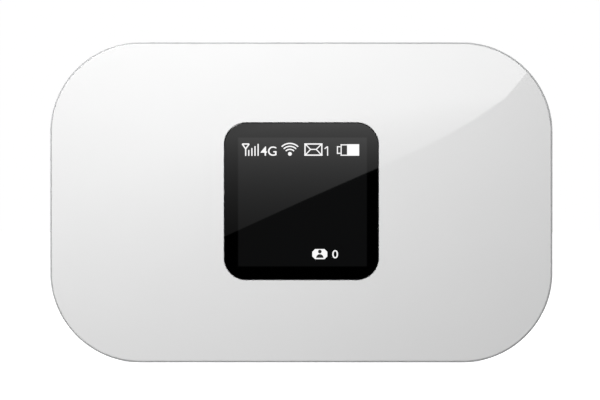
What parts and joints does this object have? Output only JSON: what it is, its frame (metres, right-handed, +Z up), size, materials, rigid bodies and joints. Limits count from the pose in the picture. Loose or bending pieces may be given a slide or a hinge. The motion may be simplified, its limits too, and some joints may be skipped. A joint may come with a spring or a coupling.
{
  "type": "mobile hotspot",
  "caption": "Pocket mobile hotspot: rounded white slab with a small square screen, an edge band with keys, a snap-off battery door and a removable battery.",
  "frame": {"origin": "middle of the flat long lower edge of the frame band that it stands on", "axes": "+X to the right of the screen as its user sees it, +Y from the screen to the battery door, +Z up"},
  "size_m": [0.099, 0.014, 0.0632],
  "materials": {
    "white_gloss": "glossy white",
    "silver": "fine satin silver paint",
    "white_satin": "satin white",
    "black_window": "clear acrylic with a black printed back, mirror gloss",
    "black_plastic": "fine matte",
    "grey_plastic": "fine matte",
    "adhesive": "matte foam tape",
    "panel_glass": "polished glass cell",
    "backlight_white": "satin white moulding",
    "film_copper": "satin polyimide film",
    "circuit_green": "solder mask on glass-fibre board",
    "steel": "tinned sheet",
    "gold": "gold-plated copper alloy",
    "chip_black": "moulded epoxy",
    "battery_grey": "wrapped aluminium can",
    "label_white": "matte film label",
    "card_white": "satin card"
  },
  "bodies": {
    "housing": {"front_cover": "white_gloss", "display_window": "black_window", "window_tape": "adhesive", "mid_frame": "silver", "chassis": "grey_plastic", "power_switch": "steel", "menu_switch": "steel", "reset_switch": "steel", "display_gasket": "adhesive", "display_glass": "panel_glass", "display_backlight": "backlight_white", "display_holder": "black_plastic", "display_ribbon": "film_copper", "ribbon_connector": "black_plastic", "main_board": "circuit_green", "modem_shield": "steel", "modem_chip": "chip_black", "memory_chip": "chip_black", "radio_shield": "steel", "wireless_chip": "chip_black", "power_chip": "chip_black", "antenna_main": "gold", "antenna_carrier_left": "black_plastic", "antenna_diversity": "gold", "antenna_carrier_right": "black_plastic", "antenna_wireless": "gold", "usb_socket": "steel", "usb_tongue": "black_plastic", "sim_socket": "steel", "memory_socket": "steel", "bay_label": "label_white", "contact_block": "black_plastic", "contact_spring_1": "gold", "contact_spring_2": "gold", "contact_spring_3": "gold", "contact_spring_4": "gold", "case_screw_1": "steel", "case_screw_2": "steel", "case_screw_3": "steel", "case_screw_4": "steel", "case_screw_5": "steel", "case_screw_6": "steel"},
    "door": {"rear_cover": "white_satin"},
    "battery": {"battery_cell": "battery_grey", "battery_cap": "black_plastic", "battery_terminals": "gold", "battery_label": "label_white"},
    "sim": {"sim_card": "card_white"},
    "power_key": {"power_button": "silver", "power_plunger": "black_plastic"},
    "menu_key": {"menu_button": "silver", "menu_plunger": "black_plastic"},
    "reset_key": {"reset_plunger": "black_plastic"}
  },
  "joints": [
    {"name": "cover_release", "type": "slide", "parent": "housing", "child": "door", "axis": [0, 1, 0], "range_m": [0, 0.034]},
    {"name": "battery_lift", "type": "slide", "parent": "housing", "child": "battery", "axis": [0, 1, 0], "range_m": [0, 0.017]},
    {"name": "sim_slide", "type": "slide", "parent": "housing", "child": "sim", "axis": [0, 0, 1], "range_m": [0, 0.0144]},
    {"name": "power_press", "type": "slide", "parent": "housing", "child": "power_key", "axis": [0, 0, -1], "range_m": [0, 0.0003], "stiffness_N_per_m": 5000},
    {"name": "menu_press", "type": "slide", "parent": "housing", "child": "menu_key", "axis": [0, 0, -1], "range_m": [0, 0.0003], "stiffness_N_per_m": 5000},
    {"name": "reset_press", "type": "slide", "parent": "housing", "child": "reset_key", "axis": [0, -1, 0], "range_m": [0, 0.0003], "stiffness_N_per_m": 4000}
  ],
  "couplings": [
    {"joint": "battery_lift", "follows": "cover_release", "ratio": 0.5}
  ]
}
